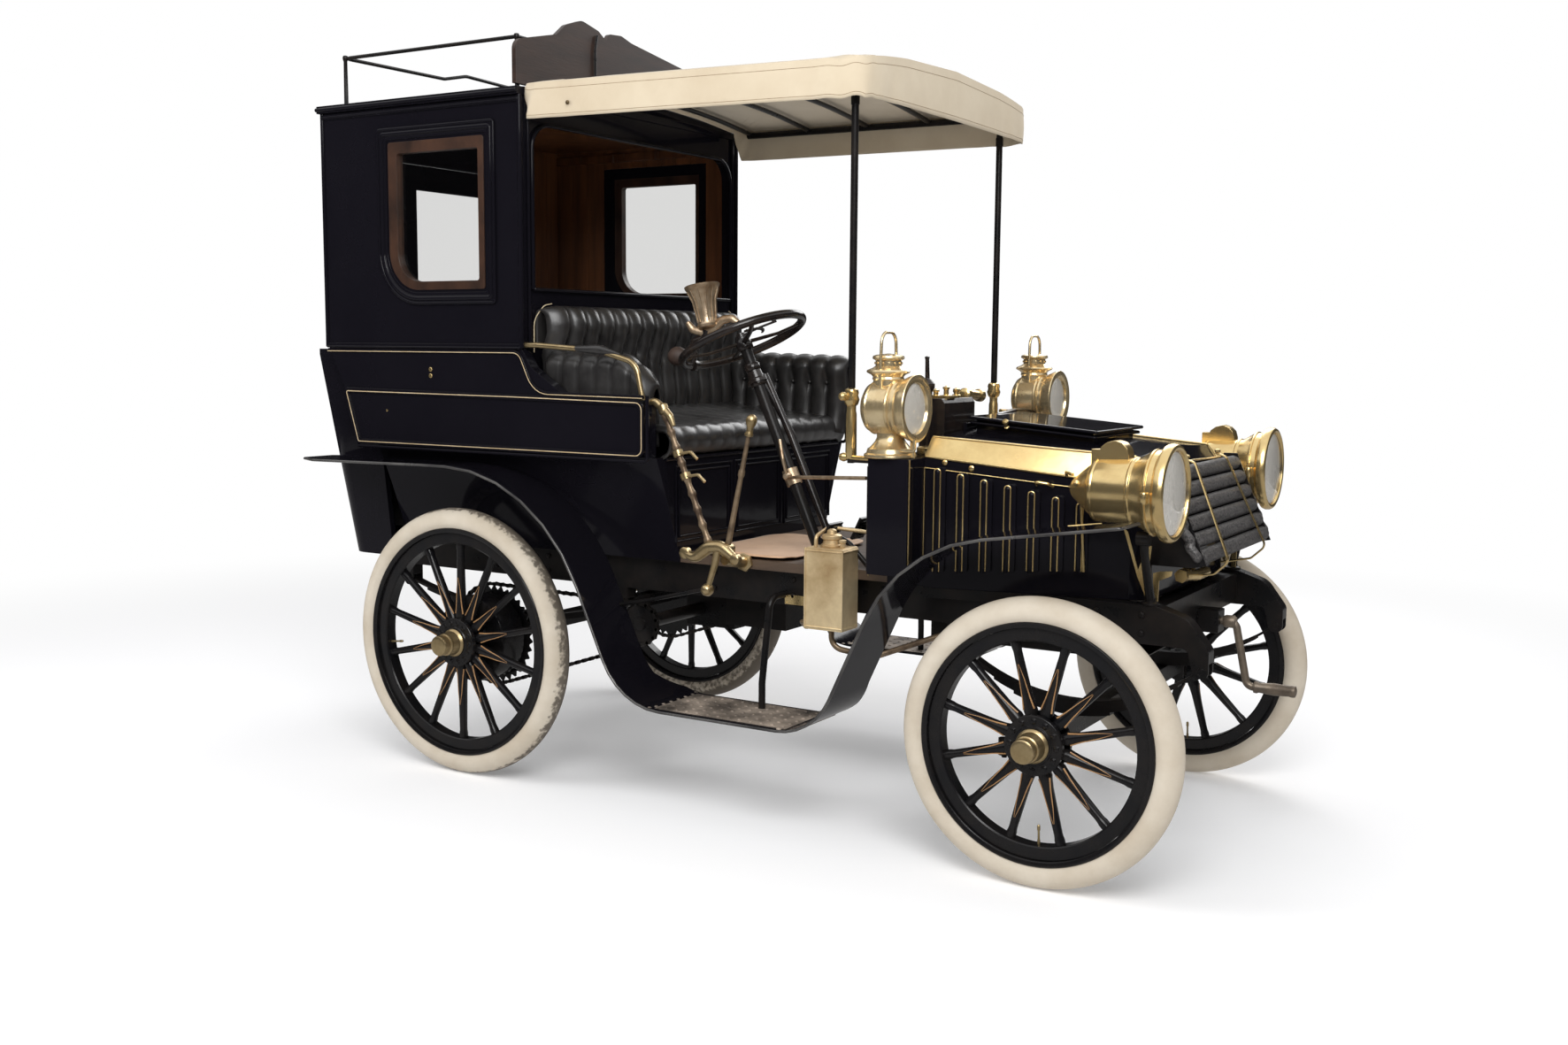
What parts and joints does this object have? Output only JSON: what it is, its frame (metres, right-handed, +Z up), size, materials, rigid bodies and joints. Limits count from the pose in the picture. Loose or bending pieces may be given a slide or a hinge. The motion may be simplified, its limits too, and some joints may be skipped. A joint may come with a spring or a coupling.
{
  "type": "brass era motor car with rear-entrance limousine body",
  "caption": "Early chain-driven motor car with a closed rear cabin, open driver's seat, canvas canopy, wooden wheels, gilled-tube radiator and brass lamps.",
  "frame": {"origin": "on the ground below the middle of the bounding box", "axes": "+X forward, +Y to the car's left, +Z up"},
  "size_m": [3.485, 1.62, 2.5878],
  "materials": {
    "black_iron": "black enamel over forged iron",
    "cast_metal": "oily cast metal",
    "chain_steel": "oiled chain steel",
    "black_coachwork": "deep gloss black coach paint",
    "brass": "polished brass",
    "radiator_black": "black gilled tubes",
    "window_glass": "clear plate glass",
    "floor_wood": "dark boards",
    "black_leather": "buttoned black leather",
    "dark_wood": "dark stained wood",
    "canvas": "cream canvas",
    "tyre_rubber": "pale natural rubber",
    "wheel_black": "black enamelled wood with ochre lines"
  },
  "bodies": {
    "car": {"arm_rail": "brass", "body_side_left": "black_coachwork", "body_side_right": "black_coachwork", "brass_trim": "brass", "cabin_front": "black_coachwork", "cabin_rear": "black_coachwork", "cabin_seats": "black_leather", "cabin_side_left": "black_coachwork", "cabin_side_right": "black_coachwork", "canopy": "canvas", "canopy_frame": "black_iron", "chassis_frame": "black_iron", "dashboard": "black_coachwork", "drive_chains": "chain_steel", "engine_and_gears": "cast_metal", "fender_left": "black_coachwork", "fender_right": "black_coachwork", "floor": "floor_wood", "front_axle": "black_iron", "hand_levers": "brass", "headlamp_left": "brass", "headlamp_right": "brass", "hood": "black_coachwork", "leaf_springs": "black_iron", "luggage_rail": "black_iron", "rack_board": "dark_wood", "radiator": "radiator_black", "rear_axle": "black_iron", "rear_panel": "black_coachwork", "roof": "black_coachwork", "seat_back": "black_leather", "seat_box": "black_coachwork", "seat_cushion": "black_leather", "side_lamp_left": "brass", "side_lamp_right": "brass", "side_tank": "brass", "starting_crank": "black_iron", "steering_column": "black_iron", "step_brackets": "black_iron", "undertray": "black_iron", "window_glass": "window_glass"},
    "knuckle_right": {"knuckle_right": "black_iron"},
    "knuckle_left": {"knuckle_left": "black_iron"},
    "track_rod": {"track_rod": "black_iron"},
    "front_wheel_right": {"front_wheel_right": "wheel_black", "front_tyre_right": "tyre_rubber"},
    "front_wheel_left": {"front_wheel_left": "wheel_black", "front_tyre_left": "tyre_rubber"},
    "rear_wheel_right": {"rear_wheel_right": "wheel_black", "rear_tyre_right": "tyre_rubber"},
    "rear_wheel_left": {"rear_wheel_left": "wheel_black", "rear_tyre_left": "tyre_rubber"},
    "steering_wheel": {"steering_wheel": "dark_wood", "horn": "brass"},
    "rear_door_lower": {"rear_door_lower": "black_coachwork"},
    "rear_door_upper": {"rear_door_upper": "black_coachwork"}
  },
  "joints": [
    {"name": "steering_right", "type": "hinge", "parent": "car", "child": "knuckle_right", "pos_m": [1.2165, -0.568, 0.405], "axis": [0, 0, 1], "range_deg": [-28, 28]},
    {"name": "steering_left", "type": "hinge", "parent": "car", "child": "knuckle_left", "pos_m": [1.2165, 0.568, 0.405], "axis": [0, 0, 1], "range_deg": [-28, 28]},
    {"name": "track_rod_eye", "type": "hinge", "parent": "knuckle_right", "child": "track_rod", "pos_m": [1.0665, -0.568, 0.333], "axis": [0, 0, 1], "range_deg": [-28, 28]},
    {"name": "steering_wheel_turn", "type": "hinge", "parent": "car", "child": "steering_wheel", "pos_m": [0.0275, -0.35, 1.495], "axis": [-0.4067, 0, 0.9135], "range_deg": [-224, 224]},
    {"name": "front_wheel_right_spin", "type": "hinge", "parent": "knuckle_right", "child": "front_wheel_right", "pos_m": [1.2165, -0.69, 0.405], "axis": [0, 1, 0], "continuous": true},
    {"name": "front_wheel_left_spin", "type": "hinge", "parent": "knuckle_left", "child": "front_wheel_left", "pos_m": [1.2165, 0.69, 0.405], "axis": [0, 1, 0], "continuous": true},
    {"name": "rear_wheel_right_spin", "type": "hinge", "parent": "car", "child": "rear_wheel_right", "pos_m": [-0.8975, -0.69, 0.46], "axis": [0, 1, 0], "continuous": true},
    {"name": "rear_wheel_left_spin", "type": "hinge", "parent": "car", "child": "rear_wheel_left", "pos_m": [-0.8975, 0.69, 0.46], "axis": [0, 1, 0], "continuous": true},
    {"name": "rear_door_lower_hinge", "type": "hinge", "parent": "car", "child": "rear_door_lower", "pos_m": [-1.63138, 0.3025, 0.69855], "axis": [0.1611, 0, -0.9869], "range_deg": [0, 100]},
    {"name": "rear_door_upper_hinge", "type": "hinge", "parent": "car", "child": "rear_door_upper", "pos_m": [-1.5775, 0.3025, 1.463], "axis": [0, 0, -1], "range_deg": [0, 110]}
  ],
  "couplings": [
    {"joint": "steering_left", "follows": "steering_right", "ratio": 1},
    {"joint": "track_rod_eye", "follows": "steering_right", "ratio": -1},
    {"joint": "steering_wheel_turn", "follows": "steering_right", "ratio": 8}
  ]
}
